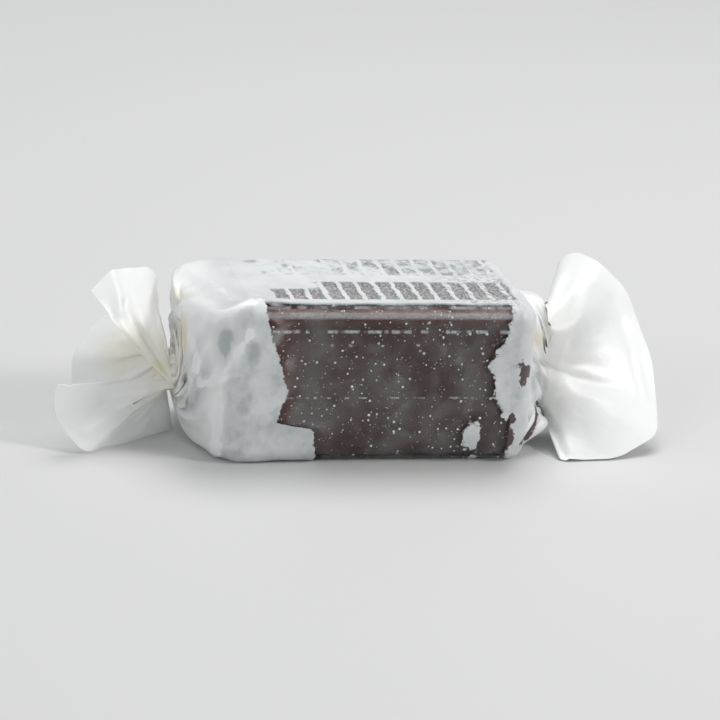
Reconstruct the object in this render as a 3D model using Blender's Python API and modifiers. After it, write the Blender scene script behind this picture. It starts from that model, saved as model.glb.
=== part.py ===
"""A twist-wrapped salted caramel: a ribbed block of caramel rolled in one sheet of waxed paper.

The block lies along X. The sheet goes once round it and laps over itself on the back face. At each
end the sheet is gathered over the end of the block into a twisted neck, and flares out again into a
fan of paper. The origin is the middle of the flat face that the sweet lies on, and +Z is up.
"""

import math

import bmesh
import bpy
import numpy as np

MM = 0.001

# The caramel: a block of this size weighs 18 g
BLOCK_LENGTH = 37.4 * MM
BLOCK_SIDE = 19.2 * MM
BLOCK_EDGE = 1.8 * MM
GROOVE_DEPTH = 0.3 * MM
GROOVE_WIDTH = 0.5 * MM
RIB_PITCH = 2.28 * MM
RIB_LENGTH = 6.6 * MM
RIB_COUNT = 13
RIBS_MIDDLE = 1.35 * MM
RIB_ROWS = (-3.5 * MM, 5.5 * MM)
BLOCK_COLOUR = (0.045, 0.016, 0.009)

# The sheet of paper
PAPER = 0.25 * MM
GAP = 0.3 * MM
END_GAP = 0.5 * MM
LAP_GAP = 0.2 * MM
SLEEVE_HALF = BLOCK_SIDE / 2 + GAP + PAPER
SLEEVE_CORNER = 2.3 * MM
SLEEVE_END = 16.6 * MM
SLEEVE_ROWS = 4
FLAT_STATIONS = 9
CORNER_STATIONS = 3
SIDE_STATIONS = FLAT_STATIONS + CORNER_STATIONS
LAP_STATIONS = 8
STATIONS = 4 * SIDE_STATIONS + LAP_STATIONS
CENTRE_Z = SLEEVE_HALF
PAPER_COLOUR = (0.78, 0.8, 0.8)

# The ends: how far the pleats stand out over the end of the block and round the neck, and the pleats
# themselves, as (how many round the sweet, share, shift)
NECK_BEND = 1.0 * MM
END_GATHER = 0.8 * MM
NECK_GATHER = 0.7 * MM
NECK_LENGTH = 0.7 * MM
END_PLEATS = ((7, 0.6, 0.15), (12, 0.4, 0.4))
FAN_PLEATS = ((9, 0.5, 0.3), (16, 0.5, 0.05))
END_ROWS = 12
FAN_ROWS = 7

# Each end of the wrapper, in mm. side is -1 at the left end. neck is the neck's middle and neck_half its
# half width and height. bend pulls the paper out along X as it leaves the sleeve, and narrowing is how
# early it closes on the neck: 0 is late and 1 is soon. twist is how far the neck is turned, and swell
# how far the paper stands out past the block, as (station, mm). gather is the height of the pleats
# that run out of the neck. fan lists the corners and folds of the free edge, from the sheet's inner
# side edge to its outer one. curl pushes the middle of the paper near the outer one aside.
RIGHT_END = {
    "side": 1,
    "neck": (22.6, 0.0, 10.6),
    "neck_half": (3.0, 6.8),
    "bend": 19.6,
    "narrowing": (0.6, 0.95),
    "twist": math.radians(66),
    "swell": ((0, 0.2), (8, -1.6), (24, -1.2), (31, 0.6), (36, 3.2), (42, 3.2), (48, 0.4), (56, -0.6)),
    "gather": 0.35,
    "fan": (
        (29.2, 13.0, 15.4),
        (27.2, 11.4, 18.9),
        (29.9, 12.4, 20.3),
        (31.9, 7.8, 20.4),
        (35.8, 7.0, 16.8),
        (37.0, 5.2, 13.4),
        (38.2, 1.4, 9.7),
        (38.1, -2.6, 5.2),
        (37.4, -6.4, 2.3),
        (31.4, -9.2, 0.25),
        (23.4, -9.6, 0.24),
        (27.4, -1.0, 1.4),
        (35.2, 3.4, 1.6),
        (35.0, 9.2, 5.0),
        (37.2, 8.6, 9.0),
        (34.0, 12.6, 12.8),
        (31.6, 12.9, 16.8),
    ),
    "curl": (1.2, -1.0, 0.6),
}
LEFT_END = {
    "side": -1,
    "neck": (-24.0, 0.0, 8.8),
    "neck_half": (2.5, 2.9),
    "bend": 21.0,
    "narrowing": (0.0, 0.82),
    "twist": math.radians(206),
    "swell": ((0, 0.6), (8, 2.8), (20, 2.6), (26, 0.8), (34, 0.2), (46, 0.4), (56, 1.8)),
    "gather": 0.6,
    "fan": (
        (-38.9, -4.4, 8.7),
        (-39.2, -4.2, 5.4),
        (-38.2, -4.8, 3.2),
        (-35.4, -6.4, 0.3),
        (-29.6, -2.2, 0.1),
        (-22.4, 2.2, 0.1),
        (-29.0, 6.6, 0.1),
        (-34.6, 8.6, 1.6),
        (-34.6, 10.0, 6.4),
        (-32.8, 12.2, 9.0),
        (-30.8, 13.6, 10.6),
        (-26.4, 12.4, 13.6),
        (-24.8, 8.6, 17.0),
        (-26.3, 6.0, 20.0),
        (-31.8, 2.2, 20.9),
        (-35.0, -0.6, 18.9),
    ),
    "curl": (-1.0, -1.6, 0.8),
}


def clear_scene():
    """Take out whatever the scene holds at the start."""
    for thing in list(bpy.data.objects):
        bpy.data.objects.remove(thing, do_unlink=True)


def new_collection(name, shown=True):
    """A collection under the scene's own one, hidden from renders if it holds cutters."""
    collection = bpy.data.collections.new(name)
    bpy.context.scene.collection.children.link(collection)
    collection.hide_render = not shown
    return collection


def new_material(name, colour, roughness, coat=0.0):
    """A Principled material of one colour."""
    material = bpy.data.materials.new(name)
    material.use_nodes = True
    shader = material.node_tree.nodes["Principled BSDF"]
    shader.inputs["Base Color"].default_value = (*colour, 1.0)
    shader.inputs["Roughness"].default_value = roughness
    shader.inputs["Metallic"].default_value = 0.0
    shader.inputs["Coat Weight"].default_value = coat
    return material


def object_from(name, mesh, collection, material=None):
    """A named object for a mesh, linked and given its material."""
    thing = bpy.data.objects.new(name, mesh)
    collection.objects.link(thing)
    if material is not None:
        mesh.materials.append(material)
    return thing


def groove_sheet():
    """The grooves between the ribs as a flat sheet: a grid of strips with the ribs left out."""
    x_lines = []
    for rib in range(RIB_COUNT + 1):
        middle = RIBS_MIDDLE + (rib - RIB_COUNT / 2) * RIB_PITCH
        x_lines += [middle - GROOVE_WIDTH / 2, middle + GROOVE_WIDTH / 2]
    y_lines = []
    for row in RIB_ROWS:
        near, far = row - RIB_LENGTH / 2, row + RIB_LENGTH / 2
        y_lines += [near - GROOVE_WIDTH, near, far, far + GROOVE_WIDTH]
    bm = bmesh.new()
    grid = [[bm.verts.new((x, y, 0.0)) for y in y_lines] for x in x_lines]
    for i in range(len(x_lines) - 1):
        for j in range(len(y_lines) - 1):
            is_rib = i % 2 == 1 and j % 4 == 1
            is_bare = j % 4 == 3
            if not is_rib and not is_bare:
                bm.faces.new((grid[i][j], grid[i + 1][j], grid[i + 1][j + 1], grid[i][j + 1]))
    bmesh.ops.delete(bm, geom=[v for v in bm.verts if not v.link_faces], context="VERTS")
    mesh = bpy.data.meshes.new("groove_sheet")
    bm.to_mesh(mesh)
    bm.free()
    return mesh


def make_caramel(parts, cutters):
    """The block: rounded edges, and two rows of ribs pressed into its top."""
    bpy.ops.mesh.primitive_cube_add(size=1.0, location=(0.0, 0.0, CENTRE_Z))
    block = bpy.context.object
    block.name = "caramel"
    block.scale = (BLOCK_LENGTH, BLOCK_SIDE, BLOCK_SIDE)
    bpy.ops.object.transform_apply(location=False, rotation=False, scale=True)
    for holder in list(block.users_collection):
        holder.objects.unlink(block)
    parts.objects.link(block)
    block.data.materials.append(new_material("caramel", BLOCK_COLOUR, 0.35, 0.3))
    bevel = block.modifiers.new("rounded_edges", "BEVEL")
    bevel.width = BLOCK_EDGE
    bevel.segments = 4
    grooves = object_from("groove_cutter", groove_sheet(), cutters)
    grooves.location = (0.0, 0.0, CENTRE_Z + BLOCK_SIDE / 2)
    grooves.hide_render = True
    grooves.display_type = "WIRE"
    depth = grooves.modifiers.new("groove_depth", "SOLIDIFY")
    depth.thickness = 2 * GROOVE_DEPTH
    depth.offset = 0.0
    cut = block.modifiers.new("cut_grooves", "BOOLEAN")
    cut.operation = "DIFFERENCE"
    cut.object = grooves
    block.data.set_sharp_from_angle(angle=math.radians(35))
    return block


def section(station):
    """(y, z, outward y, outward z) of the sleeve at a station, from the section's middle.

    Station 0 is at the foot of the back face. The path runs up the back, over the top, down the
    front and under the bottom. Each side is a flat and the rounded corner after it.
    """
    side, local = divmod(station, SIDE_STATIONS)
    flat = 2 * (SLEEVE_HALF - SLEEVE_CORNER)
    if local <= FLAT_STATIONS:
        across, along = SLEEVE_HALF, flat * (local / FLAT_STATIONS - 0.5)
        facing = 0.0
    else:
        facing = math.pi / 2 * (local - FLAT_STATIONS) / CORNER_STATIONS
        across = flat / 2 + SLEEVE_CORNER * math.cos(facing)
        along = flat / 2 + SLEEVE_CORNER * math.sin(facing)
    turn = math.pi / 2 * side
    y = across * math.cos(turn) - along * math.sin(turn)
    z = across * math.sin(turn) + along * math.cos(turn)
    return y, z, math.cos(turn + facing), math.sin(turn + facing)


def sheet_path(stations):
    """The stations as arrays: distance and direction from the middle, and the outward lap."""
    points = np.array([section(station) for station in stations])
    ramp_start = 4 * SIDE_STATIONS - CORNER_STATIONS
    ramp = np.clip((stations - ramp_start) / CORNER_STATIONS, 0.0, 1.0)
    lap = ramp * (PAPER + LAP_GAP)
    y = points[:, 0] + lap * points[:, 2]
    z = points[:, 1] + lap * points[:, 3]
    angle = np.unwrap(np.arctan2(z, y))
    return {"reach": np.hypot(y, z), "angle": angle, "lap": lap}


def gathers(angle, counts):
    """Folds round the axis, from 0 in a valley to 1 on a ridge. Whole counts keep the lap nested."""
    total = np.zeros_like(angle)
    for count, share, shift in counts:
        turns = angle * count / (2 * math.pi) + shift
        total += share * np.abs(2 * (turns - np.floor(turns)) - 1)
    return total


def bezier(t, a, b, c, d):
    """A cubic through a and d, pulled towards b and c."""
    s = 1 - t
    return s**3 * a + 3 * s * s * t * b + 3 * s * t * t * c + t**3 * d


def off_the_block(points, gap):
    """Move points that are nearer to the block than the gap out along its normal, not below the floor."""
    core = np.array((BLOCK_LENGTH, BLOCK_SIDE, BLOCK_SIDE)) / 2 - BLOCK_EDGE
    away = points - np.array((0.0, 0.0, CENTRE_Z))
    out = away - np.clip(away, -core, core)
    reach = np.linalg.norm(out, axis=1)
    short = np.maximum(0.0, BLOCK_EDGE + gap + PAPER - reach)
    moved = points + out * (short / np.maximum(reach, PAPER))[:, None]
    moved[:, 2] = np.maximum(moved[:, 2], 0.0)
    return moved


def end_ring(end, path, stations, t):
    """The sheet's ring at t between the sleeve, 0, and the neck, 1. The lap closes on the way."""
    side, neck = end["side"], np.array(end["neck"]) * MM
    folds = gathers(path["angle"], END_PLEATS)
    span = path["angle"][-1] - path["angle"][0]
    middle = path["angle"][0] + span / 2
    closed = middle + (path["angle"] - middle) * (1 - (1 - 2 * math.pi / span) * t * t)
    turned = closed + end["twist"] * t**2.5
    narrowed = bezier(t, 0.0, *end["narrowing"], 1.0)
    neck_y, neck_z = (half * MM for half in end["neck_half"])
    neck_reach = np.hypot(neck_y * np.cos(turned), neck_z * np.sin(turned))
    neck_reach = neck_reach + NECK_GATHER * (folds - 1) + path["lap"]
    reach = path["reach"] * (1 - narrowed) + neck_reach * narrowed
    swell = np.interp(stations, *np.array(end["swell"]).T) * MM
    x = bezier(t, SLEEVE_END, end["bend"] * MM, abs(neck[0]) - NECK_BEND, abs(neck[0]))
    x = x + END_GATHER * folds * math.sin(math.pi * t) ** 1.5 + path["lap"] * math.sin(math.pi * t)
    x = x + swell * math.sin(math.pi * min(1.0, 1.5 * t))
    y = neck[1] * narrowed + reach * np.cos(turned)
    z = CENTRE_Z + (neck[2] - CENTRE_Z) * narrowed + reach * np.sin(turned)
    return off_the_block(np.stack([side * x, y, z], axis=1), GAP + END_GAP * min(1.0, 8 * t))


def free_edge(end, stations):
    """Where each station meets the free edge of the fan: its folds, spaced by their distance."""
    folds = np.array(end["fan"]) * MM
    spans = np.linalg.norm(np.diff(folds, axis=0), axis=1)
    marks = np.concatenate([[0.0], np.cumsum(spans)]) * STATIONS / spans.sum()
    return np.stack([np.interp(stations, marks, folds[:, k]) for k in range(3)], axis=1)


def fan_ring(end, path, stations, t):
    """The sheet's ring at t between the neck, 0, and the free edge of the fan, 1."""
    start = end_ring(end, path, stations, 1.0) + np.array((end["side"] * NECK_LENGTH, 0.0, 0.0))
    middle = np.array(end["neck"]) * MM
    folds = gathers(path["angle"], FAN_PLEATS) - 0.5
    away = start - middle
    away[:, 0] = 0.0
    away /= np.linalg.norm(away, axis=1)[:, None]
    gather = end["gather"] * MM * folds * math.sin(math.pi * min(1.0, t * 1.25 + 0.1))
    curl = np.array(end["curl"]) * MM * 4 * t * (1 - t)
    ring = start + (free_edge(end, stations) - start) * t + away * gather[:, None]
    return ring + curl * np.clip(stations / STATIONS * 4 - 3, 0.0, 1.0)[:, None]


def sheet_rings(stations):
    """Every ring of the sheet, from the left free edge to the right one."""
    path = sheet_path(stations)
    half = {}
    for end in (LEFT_END, RIGHT_END):
        rings = [end_ring(end, path, stations, step / END_ROWS) for step in range(END_ROWS + 1)]
        rings += [fan_ring(end, path, stations, step / FAN_ROWS) for step in range(FAN_ROWS + 1)]
        half[end["side"]] = rings
    left, right = half[-1][::-1], half[1]
    share = [step / SLEEVE_ROWS for step in range(1, SLEEVE_ROWS)]
    middle = [left[-1] * (1 - s) + right[0] * s for s in share]
    return left + middle + right


def make_wrapper(parts):
    """The sheet of waxed paper, as an open loft of rings that is given its thickness inwards."""
    rings = sheet_rings(np.arange(STATIONS + 1, dtype=float))
    wide = STATIONS + 1
    corners = np.concatenate(rings)
    faces = []
    for row in range(len(rings) - 1):
        for column in range(wide - 1):
            here = row * wide + column
            faces.append((here, here + wide, here + wide + 1, here + 1))
    mesh = bpy.data.meshes.new("wrapper")
    mesh.from_pydata(corners.tolist(), [], faces)
    wrapper = object_from("wrapper", mesh, parts, new_material("waxed_paper", PAPER_COLOUR, 0.45))
    thick = wrapper.modifiers.new("paper_thickness", "SOLIDIFY")
    thick.thickness = PAPER
    thick.offset = 1.0
    return wrapper


def main():
    """Build the sweet."""
    clear_scene()
    parts = new_collection("wrapped_caramel")
    cutters = new_collection("cutters", shown=False)
    make_caramel(parts, cutters)
    make_wrapper(parts)


main()
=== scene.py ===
# %% [markdown]
# # A caramel in twisted waxed paper
# This notebook dresses one sweet: a ribbed block of dark caramel, rolled in a sheet of waxed paper.
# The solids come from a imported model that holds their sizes. Here every surface gets its real look:
# the sheet with its pleats and creases, the wet patches where wax clings to the caramel, the ribs that
# show through on top, and the specks of wax between the two.

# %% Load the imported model
import math
from functools import partial

import bpy
import numpy as np
from mathutils import Matrix, Vector


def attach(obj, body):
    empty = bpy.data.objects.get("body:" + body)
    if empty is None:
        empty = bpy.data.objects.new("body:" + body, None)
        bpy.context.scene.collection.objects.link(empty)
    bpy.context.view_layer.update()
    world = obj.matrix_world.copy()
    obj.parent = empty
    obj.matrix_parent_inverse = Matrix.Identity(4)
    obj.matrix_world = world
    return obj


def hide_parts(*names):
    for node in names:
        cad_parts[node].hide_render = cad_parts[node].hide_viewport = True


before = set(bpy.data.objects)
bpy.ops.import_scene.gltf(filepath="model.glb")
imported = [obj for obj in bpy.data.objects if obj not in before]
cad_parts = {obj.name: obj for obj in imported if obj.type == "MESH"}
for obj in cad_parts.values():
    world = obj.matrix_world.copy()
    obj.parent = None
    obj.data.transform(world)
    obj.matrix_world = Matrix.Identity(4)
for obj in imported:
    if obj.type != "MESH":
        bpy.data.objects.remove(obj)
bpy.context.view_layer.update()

scene = bpy.context.scene

# %% [markdown]
# ## The camera
# Scale and viewing angle are settled before any surface, because every later choice is judged through
# this camera. The photographer stood a little to the left of the sweet and looked slightly down on it,
# with the sweet's long edges level in the picture. A camera could be aimed with a Track To constraint,
# but then its roll is hard to control. So its three axes are written down as a matrix: right along the
# picture, up the picture, and back towards the eye.

# %% Set up the camera
MM = 0.001
CAMERA_RIGHT = Vector((0.9699, -0.2280, 0.0856)).normalized()
CAMERA_UP = Vector((0.0, 0.3515, 0.9362)).normalized()
CAMERA_BACK = CAMERA_RIGHT.cross(CAMERA_UP).normalized()
CAMERA_UP = CAMERA_BACK.cross(CAMERA_RIGHT).normalized()
LENS = 180.0
VIEW_WIDTH = 90 * MM
MIDDLE_RIGHT, MIDDLE_UP = 0.5, 9.3
LOOK_AT = CAMERA_RIGHT * MIDDLE_RIGHT * MM + CAMERA_UP * MIDDLE_UP * MM
NEAREST_SEEN = 10 * MM


def added(name, data):
    """A new object in the scene."""
    thing = bpy.data.objects.new(name, data)
    scene.collection.objects.link(thing)
    return thing


camera = added("camera", bpy.data.cameras.new("camera"))
camera.data.lens = LENS
camera.data.clip_start = NEAREST_SEEN
distance = VIEW_WIDTH * LENS / camera.data.sensor_width
turned = Matrix((CAMERA_RIGHT, CAMERA_UP, CAMERA_BACK)).transposed().to_4x4()
camera.matrix_world = Matrix.Translation(LOOK_AT + CAMERA_BACK * distance) @ turned
scene.camera = camera
print("the camera stands", round(distance * 1000), "mm away")

# %% [markdown]
# ## Floor and light
# Waxed paper is nearly white and lets light through, so it needs big soft lamps: small ones would
# burn it out and draw hard shadows that such paper doesn't have. A large lamp above, a key lamp from
# the front right and a weak fill from the left give the folds their soft grey shading.

# %% Lay the floor
FLOOR_SIZE = 6.0
FLOOR_GREY = (0.62, 0.62, 0.615)


def new_material(name):
    """A material, its node tree and its main shader."""
    material = bpy.data.materials.new(name)
    material.use_nodes = True
    return material, material.node_tree, material.node_tree.nodes["Principled BSDF"]


pale_floor, tree, shader = new_material("pale_floor")
shader.inputs["Base Color"].default_value = (*FLOOR_GREY, 1.0)
shader.inputs["Roughness"].default_value = 0.6
bpy.ops.mesh.primitive_plane_add(size=FLOOR_SIZE, location=(0.0, 0.0, 0.0))
floor = bpy.context.object
floor.name = "floor"
floor.data.materials.append(pale_floor)
print("the floor is", FLOOR_SIZE, "m wide")

# %% Hang the lamps
# For each lamp: its place and the side of its square in metres, its power in watts and its colour.
LAMPS = {
    "top_lamp": ((0.06, 0.16, 0.50), 0.30, 1.8, (1.0, 1.0, 1.0)),
    "key_lamp": ((0.46, -0.22, 0.36), 0.16, 1.55, (1.0, 0.99, 0.97)),
    "fill_lamp": ((-0.46, -0.34, 0.30), 0.30, 0.8, (0.97, 0.99, 1.0)),
}
LAMP_TARGET = Vector((0.0, 0.0, 0.01))
SKY_COLOUR = (0.95, 0.97, 1.0, 1.0)
SKY_STRENGTH = 0.34

for lamp_name, (place, size, watts, colour) in LAMPS.items():
    lamp = added(lamp_name, bpy.data.lights.new(lamp_name, "AREA"))
    lamp.data.shape = "SQUARE"
    lamp.data.size = size
    lamp.data.energy = watts
    lamp.data.color = colour
    lamp.location = place
    lamp.rotation_euler = (LAMP_TARGET - Vector(place)).to_track_quat("-Z", "Y").to_euler()

world = bpy.data.worlds.new("studio")
world.use_nodes = True
sky = world.node_tree.nodes["Background"]
sky.inputs["Color"].default_value = SKY_COLOUR
sky.inputs["Strength"].default_value = SKY_STRENGTH
scene.world = world
scene.view_settings.view_transform = "Standard"

# %% [markdown]
# ## The sheet's sizes
# The wrapper is one sheet of paper, about 88 mm round the sweet and 90 mm along it. A cloth
# simulation could wrap it, but it is hard to steer to the folds that this sweet has. The sheet is
# instead lofted from rings: a rounded square round the block, a smaller pleated ring at each neck and
# the folds of each fan. A station counts the way round the sheet, from its inner side edge at the
# foot of the back face, up the back, over the top, down the front and under the bottom.

# %% Name the sizes of the block and the sheet
# Millimetres. The gaps lie between paper and block, at the ends and between the two layers of the lap.
BLOCK = np.array((37.4, 19.2, 19.2))
BLOCK_EDGE = 1.8
PAPER = 0.25
GAP = 0.3
END_GAP = 0.12
LAP_GAP = 0.2
SHEET_ROUND = 88.0
SLEEVE_HALF = BLOCK[1] / 2 + GAP + PAPER
SLEEVE_CORNER = 2.3
SLEEVE_END = 16.6
FLAT_STATIONS = 9
CORNER_STATIONS = 3
SIDE_STATIONS = FLAT_STATIONS + CORNER_STATIONS
LAP_STATIONS = 8
STATIONS = 4 * SIDE_STATIONS + LAP_STATIONS
CENTRE_Z = SLEEVE_HALF
NECK_BEND = 1.0
END_GATHER = 0.8
NECK_GATHER = 0.7
NECK_LENGTH = 0.7
EDGE_ROUNDING = (-0.8, -0.4, 0.0, 0.4, 0.8)
# Pleats: how many round the axis, their share of the depth, and their turn.
END_PLEATS = ((7, 0.6, 0.15), (12, 0.4, 0.4))
FAN_PLEATS = ((9, 0.5, 0.3), (16, 0.5, 0.05))

# %% [markdown]
# Each end has its own numbers, read off the photo. `neck` is the middle of the twist and `neck_half`
# its half width and height. `bend` and `narrowing` steer how the paper leaves the block, `swell` how
# far it bulges at each station, and `gather` how deep the fan's pleats are. `fan` lists the folds of
# the free edge in order round it, and `curl` bends the flap that lies over the others.

# %% Name the sizes of the two ends
RIGHT_END = {
    "side": 1,
    "neck": (22.6, 0.0, 10.6),
    "neck_half": (3.0, 6.8),
    "bend": 19.6,
    "narrowing": (0.6, 0.95),
    "twist": math.radians(66),
    "swell": ((0, 0.2), (8, -1.6), (24, -1.2), (31, 0.6), (36, 3.2), (42, 3.2), (48, 0.4), (56, -0.6)),
    "gather": 0.35,
    "fan": (
        (29.2, 13.0, 15.4), (27.2, 11.4, 18.9), (29.9, 12.4, 20.3), (31.9, 7.8, 20.4),
        (35.8, 7.0, 16.8), (37.0, 5.2, 13.4), (38.2, 1.4, 9.7), (38.1, -2.6, 5.2),
        (37.4, -6.4, 2.3), (31.4, -9.2, 0.25), (23.4, -9.6, 0.24), (27.4, -1.0, 1.4),
        (35.2, 3.4, 1.6), (35.0, 9.2, 5.0), (37.2, 8.6, 9.0), (34.0, 12.6, 12.8),
        (31.6, 12.9, 16.8),
    ),
    "curl": (1.2, -1.0, 0.6),
}
LEFT_END = {
    "side": -1,
    "neck": (-24.0, 0.0, 8.8),
    "neck_half": (2.5, 2.9),
    "bend": 21.0,
    "narrowing": (0.0, 0.82),
    "twist": math.radians(206),
    "swell": ((0, 0.6), (8, 2.8), (20, 2.6), (26, 0.8), (34, 0.2), (46, 0.4), (56, 1.8)),
    "gather": 0.6,
    "fan": (
        (-38.9, -4.4, 8.7), (-39.2, -4.2, 5.4), (-38.2, -4.8, 3.2), (-35.4, -6.4, 0.3),
        (-29.6, -2.2, 0.1), (-22.4, 2.2, 0.1), (-29.0, 6.6, 0.1), (-34.6, 8.6, 1.6),
        (-34.6, 10.0, 6.4), (-32.8, 12.2, 9.0), (-30.8, 13.6, 10.6), (-26.4, 12.4, 13.6),
        (-24.8, 8.6, 17.0), (-26.3, 6.0, 20.0), (-31.8, 2.2, 20.9), (-35.0, -0.6, 18.9),
    ),
    "curl": (-1.0, -1.6, 0.8),
}
print("the sleeve is", 2 * SLEEVE_HALF, "mm square")

# %% [markdown]
# ## From stations to rings
# Every ring starts from the same outline, the rounded square of the sleeve. Polar coordinates suit it:
# to narrow a ring one scales its distances, and to twist it one adds to its angles. The last stations
# lie a little further out, where the sheet laps over itself.

# %% Work out the sleeve's outline
COLUMNS = 250

stations = np.linspace(0.0, STATIONS, COLUMNS + 1)
side, local = np.divmod(stations, SIDE_STATIONS)
half_flat = SLEEVE_HALF - SLEEVE_CORNER
on_flat = np.minimum(local / FLAT_STATIONS, 1.0)
bend = math.pi / 2 * np.maximum(local - FLAT_STATIONS, 0.0) / CORNER_STATIONS
turn = math.pi / 2 * side
across = half_flat + SLEEVE_CORNER * np.cos(bend)
along = half_flat * (2 * on_flat - 1) + SLEEVE_CORNER * np.sin(bend)
lap_start = 4 * SIDE_STATIONS - CORNER_STATIONS
lap = np.clip((stations - lap_start) / CORNER_STATIONS, 0.0, 1.0) * (PAPER + LAP_GAP)
y = across * np.cos(turn) - along * np.sin(turn) + lap * np.cos(turn + bend)
z = across * np.sin(turn) + along * np.cos(turn) + lap * np.sin(turn + bend)
sleeve_reach = np.hypot(y, z)
sleeve_angle = np.unwrap(np.arctan2(z, y))
print("the outline lies", sleeve_reach.min().round(2), "to", sleeve_reach.max().round(2), "mm out")

# %% [markdown]
# Towards a neck the ring shrinks, turns and takes on pleats. Beyond it each point runs straight to its
# place on the free edge, because paper under tension is straight, with pleats that fade on the way.
# No ring may cut into the block, so points that come too near are pushed out along its surface.


# %% Write helpers for the rings
def gathers(angle, counts):
    """Folds round the axis, from 0 in a valley to 1 on a ridge."""
    total = np.zeros_like(angle)
    for count, share, shift in counts:
        turns = angle * count / (2 * math.pi) + shift
        total += share * np.abs(2 * (turns - np.floor(turns)) - 1)
    return total


def bezier(t, a, b, c, d):
    """A cubic through a and d, pulled towards b and c."""
    s = 1 - t
    return s**3 * a + 3 * s * s * t * b + 3 * s * t * t * c + t**3 * d


def from_the_core(points):
    """The way to each point from the block's core, which is the block without its rounded edges."""
    core = BLOCK / 2 - BLOCK_EDGE
    away = points - np.array((0.0, 0.0, CENTRE_Z))
    out = away - np.clip(away, -core, core)
    return out, np.linalg.norm(out, axis=-1)


def off_the_block(points, gap):
    """Move the points that come nearer to the block than the gap out along its surface's normal."""
    out, reach = from_the_core(points)
    short = np.maximum(0.0, BLOCK_EDGE + gap + PAPER - reach)
    moved = points + out * (short / np.maximum(reach, PAPER))[..., None]
    moved[..., 2] = np.maximum(moved[..., 2], 0.0)
    return moved


print("pleats at five places round an end:", gathers(np.linspace(0, 2 * math.pi, 5), END_PLEATS).round(2))


# %% Loft the ends
# The twist comes late, near the neck, and the swell comes early, near the block.
TWIST_POWER = 2.5
SWELL_PACE = 1.5


def end_ring(end, t):
    """The sheet's ring at t between the sleeve, 0, and the neck, 1."""
    side, neck = end["side"], np.array(end["neck"])
    folds = gathers(sleeve_angle, END_PLEATS)
    span = sleeve_angle[-1] - sleeve_angle[0]
    middle = sleeve_angle[0] + span / 2
    closed = middle + (sleeve_angle - middle) * (1 - (1 - 2 * math.pi / span) * t * t)
    turned = closed + end["twist"] * t**TWIST_POWER
    narrowed = bezier(t, 0.0, *end["narrowing"], 1.0)
    neck_y, neck_z = end["neck_half"]
    neck_reach = np.hypot(neck_y * np.cos(turned), neck_z * np.sin(turned))
    neck_reach = neck_reach + NECK_GATHER * (folds - 1) + lap
    reach = sleeve_reach * (1 - narrowed) + neck_reach * narrowed
    swell = np.interp(stations, *np.array(end["swell"]).T)
    x = bezier(t, SLEEVE_END, end["bend"], abs(neck[0]) - NECK_BEND, abs(neck[0]))
    x = x + END_GATHER * folds * math.sin(math.pi * t) ** 1.5 + lap * math.sin(math.pi * t)
    x = x + swell * math.sin(math.pi * min(1.0, SWELL_PACE * t))
    y = neck[1] * narrowed + reach * np.cos(turned)
    z = CENTRE_Z + (neck[2] - CENTRE_Z) * narrowed + reach * np.sin(turned)
    return off_the_block(np.stack([side * x, y, z], axis=1), GAP + END_GAP * min(1.0, 8 * t))


def free_edge(end):
    """Where each station meets the free edge of the fan: its folds, spaced by their distance."""
    folds = np.array(end["fan"])
    spans = np.linalg.norm(np.diff(folds, axis=0), axis=1)
    marks = np.concatenate([[0.0], np.cumsum(spans)]) * STATIONS / spans.sum()
    total = 0.0
    for shift in EDGE_ROUNDING:
        near = np.clip(stations + shift, 0.0, STATIONS)
        total = total + np.stack([np.interp(near, marks, folds[:, k]) for k in range(3)], axis=1)
    return total / len(EDGE_ROUNDING)


def fan_ring(end, t):
    """The sheet's ring at t between the neck, 0, and the free edge of the fan, 1."""
    start = end_ring(end, 1.0) + np.array((end["side"] * NECK_LENGTH, 0.0, 0.0))
    folds = gathers(sleeve_angle, FAN_PLEATS) - 0.5
    away = start - np.array(end["neck"])
    away[:, 0] = 0.0
    away /= np.linalg.norm(away, axis=1)[:, None]
    gather = end["gather"] * folds * math.sin(math.pi * min(1.0, t * 1.25 + 0.1))
    curl = np.array(end["curl"]) * 4 * t * (1 - t)
    ring = start + (free_edge(end) - start) * t + away * gather[:, None]
    return ring + curl * np.clip(stations / STATIONS * 4 - 3, 0.0, 1.0)[:, None]


print("the right fan reaches", fan_ring(RIGHT_END, 1.0)[:, 0].max().round(1), "mm out")

# %% [markdown]
# A grid of rings is easy to blur, displace and number, so the whole sheet is laid out as one array
# before any mesh is made. `zone` says where a ring is: 0 on the sleeve, 1 at a neck, 2 at a free edge.

# %% Lay the whole sheet out as a fine grid
FAN_ROWS = 44
END_ROWS = 32
SLEEVE_ROWS = 84

through_end = [k / END_ROWS for k in range(END_ROWS + 1)]
through_fan = [k / FAN_ROWS for k in range(FAN_ROWS + 1)]
along_sleeve = [k / SLEEVE_ROWS for k in range(1, SLEEVE_ROWS)]
left, right = (
    [end_ring(end, t) for t in through_end] + [fan_ring(end, t) for t in through_fan]
    for end in (LEFT_END, RIGHT_END)
)
middle = [left[0] * (1 - t) + right[0] * t for t in along_sleeve]
zones = through_end + [1 + t for t in through_fan]
grid = np.array(left[::-1] + middle + right)
outward = np.array(zones[::-1] + [0.0] * len(middle) + zones)
rows, columns = grid.shape[:2]
print("the sheet is a grid of", rows, "x", columns)

# %% [markdown]
# ## Creases
# Paper bends but hardly stretches, so it is flat between sharp creases, quite unlike cloth. Smooth
# noise would make it look like rubber. The crumple here is noise too, but on a lattice of triangles
# that stay flat: each lattice point gets a random height, and the paper between three points is a
# plain facet. Bending the lattice a little keeps it from looking regular. It is weak where the paper
# clings to the block and strong in the ends and the fans.

# %% Make two kinds of noise
LATTICE = 64
LATTICE_BEND = 0.55


def cells(a, b):
    """The lattice cell of each point, and how far the point is through it both ways."""
    i, j = np.floor(a).astype(int), np.floor(b).astype(int)
    return i, j, a - i, b - j


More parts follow.
